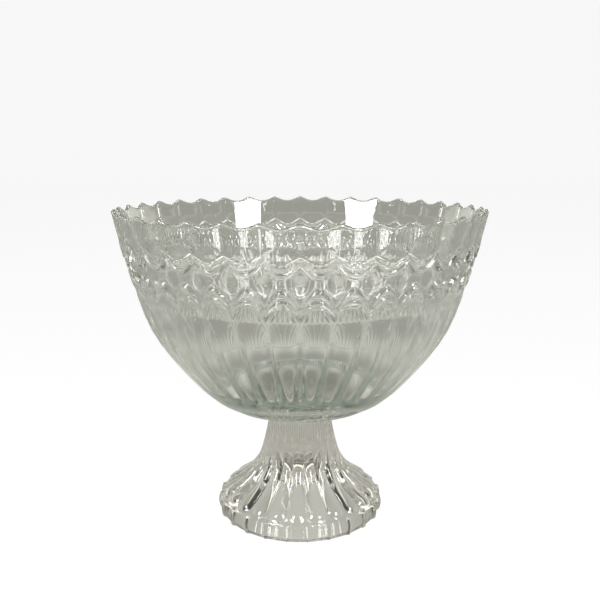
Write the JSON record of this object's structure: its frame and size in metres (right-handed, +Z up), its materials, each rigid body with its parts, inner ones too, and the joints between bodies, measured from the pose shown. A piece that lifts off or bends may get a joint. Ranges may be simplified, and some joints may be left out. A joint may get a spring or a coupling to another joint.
{
  "type": "punch bowl",
  "caption": "Clear pressed-glass punch bowl with a scalloped rim and moulded relief bands, bonded on a fluted hollow pedestal foot.",
  "frame": {"origin": "centre of the pedestal's underside, level with the table", "axes": "+Z up along the common axis of the bowl and the pedestal; X and Y are level, and the rim's scallops repeat every 10 degrees from both"},
  "size_m": [0.28, 0.28, 0.244],
  "materials": {
    "bowl_glass": "fire-polished clear pressed glass with a faint green tint where it is thick",
    "clear_bond": "cured water-clear adhesive film",
    "pedestal_glass": "fire-polished clear pressed glass, neutral grey where it is thick"
  },
  "bodies": {
    "root": {"bowl": "bowl_glass", "bond_film": "clear_bond", "pedestal": "pedestal_glass"}
  },
  "joints": []
}
